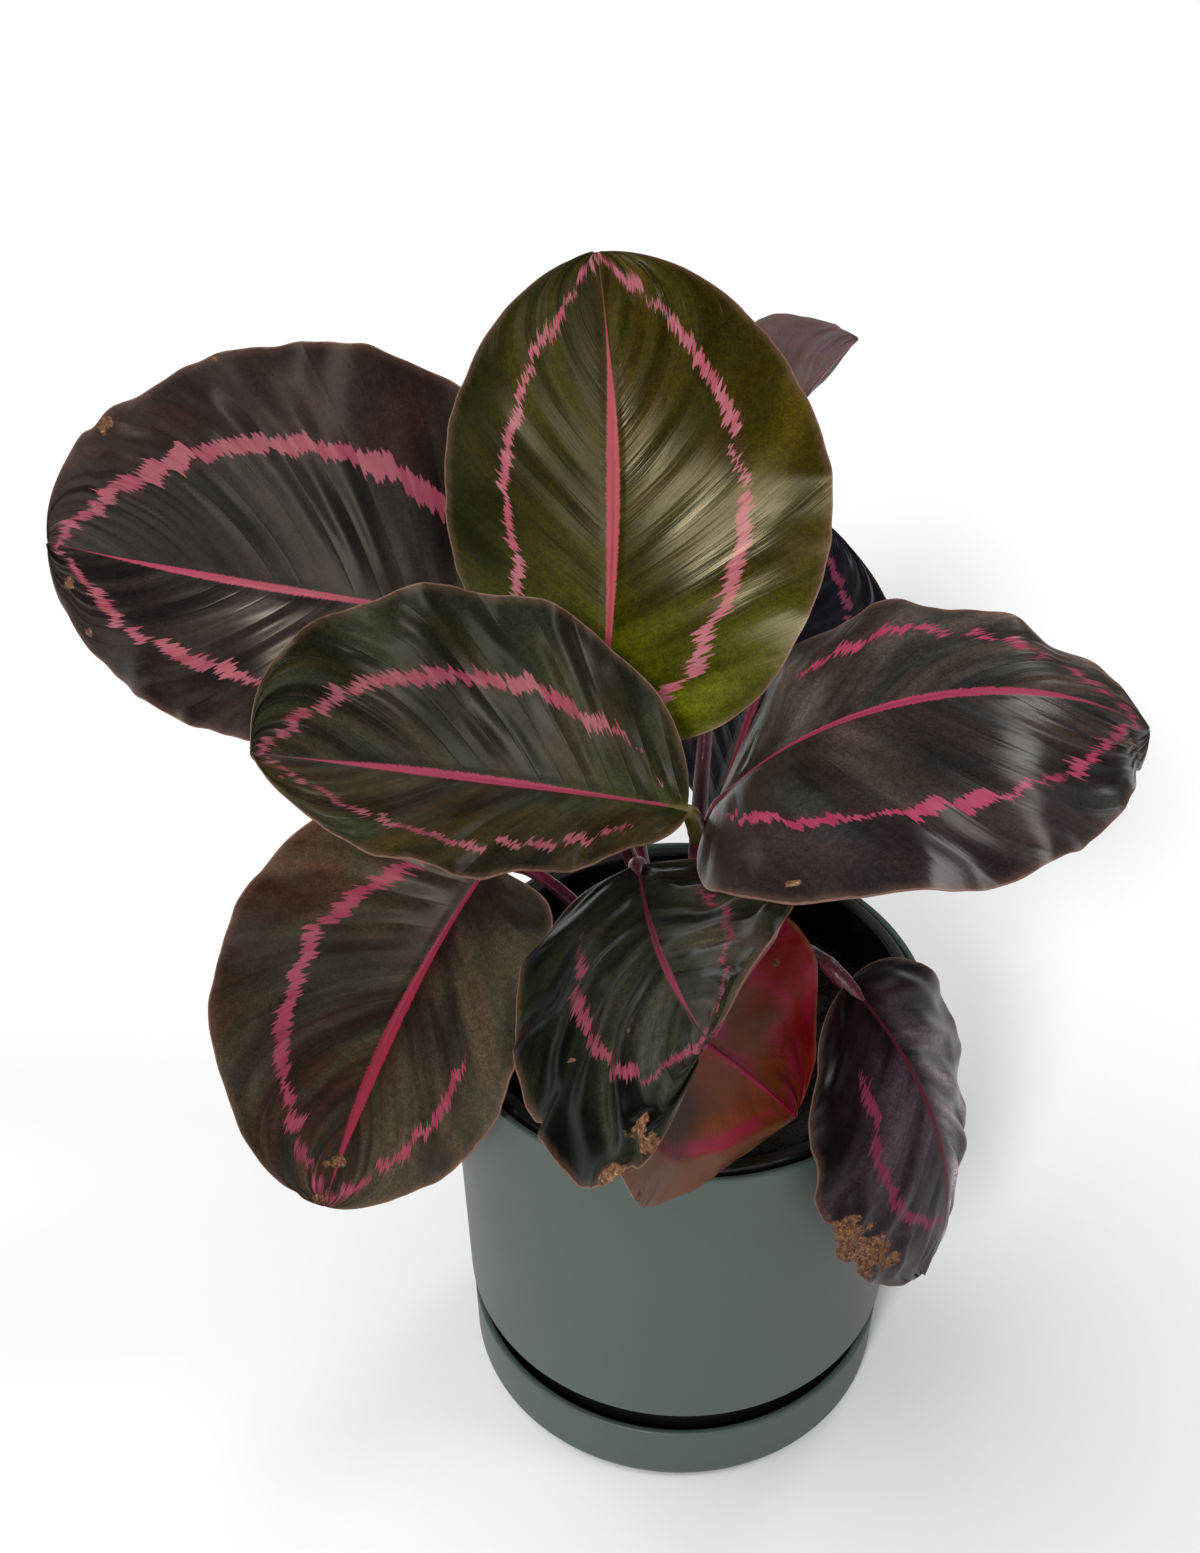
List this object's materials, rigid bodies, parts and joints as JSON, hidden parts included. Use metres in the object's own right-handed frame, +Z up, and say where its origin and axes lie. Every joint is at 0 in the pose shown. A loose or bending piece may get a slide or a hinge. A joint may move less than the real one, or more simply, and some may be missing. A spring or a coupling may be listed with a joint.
{
  "type": "potted calathea",
  "caption": "Calathea with broad dark ring-marked leaves on bare stalks, in a black grow pot inside a straight-sided plastic pot with a saucer.",
  "frame": {"origin": "centre of the saucer's flat underside, on the surface the pot stands on", "axes": "+Z up along the pot's axis; -Y towards the side the plant is looked at from; +X to that viewer's right"},
  "size_m": [0.3281, 0.2881, 0.3779],
  "materials": {
    "pot_plastic": "grey-green moulded plastic, satin",
    "grow_pot_plastic": "thin black nursery-pot plastic, slightly glossy",
    "soil": "dark peat potting mix, matt and crumbly",
    "leaf_dark": "near-black green upper face with a feathered pink ring and midrib, glossy; burgundy underside",
    "leaf_olive": "olive green upper face with a feathered pale ring and pink midrib, glossy; burgundy underside",
    "leaf_underside": "leaf turned with its burgundy underside outward, satin",
    "stalk": "crimson stalk, smooth and slightly glossy"
  },
  "bodies": {
    "root": {"saucer": "pot_plastic", "outer_pot": "pot_plastic", "grow_pot": "grow_pot_plastic", "soil": "soil", "leaf_top": "leaf_olive", "stalk_top": "stalk", "leaf_left_back": "leaf_dark", "stalk_left_back": "stalk", "leaf_left_front": "leaf_dark", "stalk_left_front": "stalk", "leaf_right": "leaf_dark", "stalk_right": "stalk", "leaf_right_back": "leaf_dark", "stalk_right_back": "stalk", "leaf_back": "leaf_dark", "stalk_back": "stalk", "leaf_low_left": "leaf_dark", "stalk_low_left": "stalk", "leaf_low_front": "leaf_dark", "stalk_low_front": "stalk", "leaf_low_turned": "leaf_underside", "stalk_low_turned": "stalk", "leaf_low_right": "leaf_dark", "stalk_low_right": "stalk"}
  },
  "joints": []
}
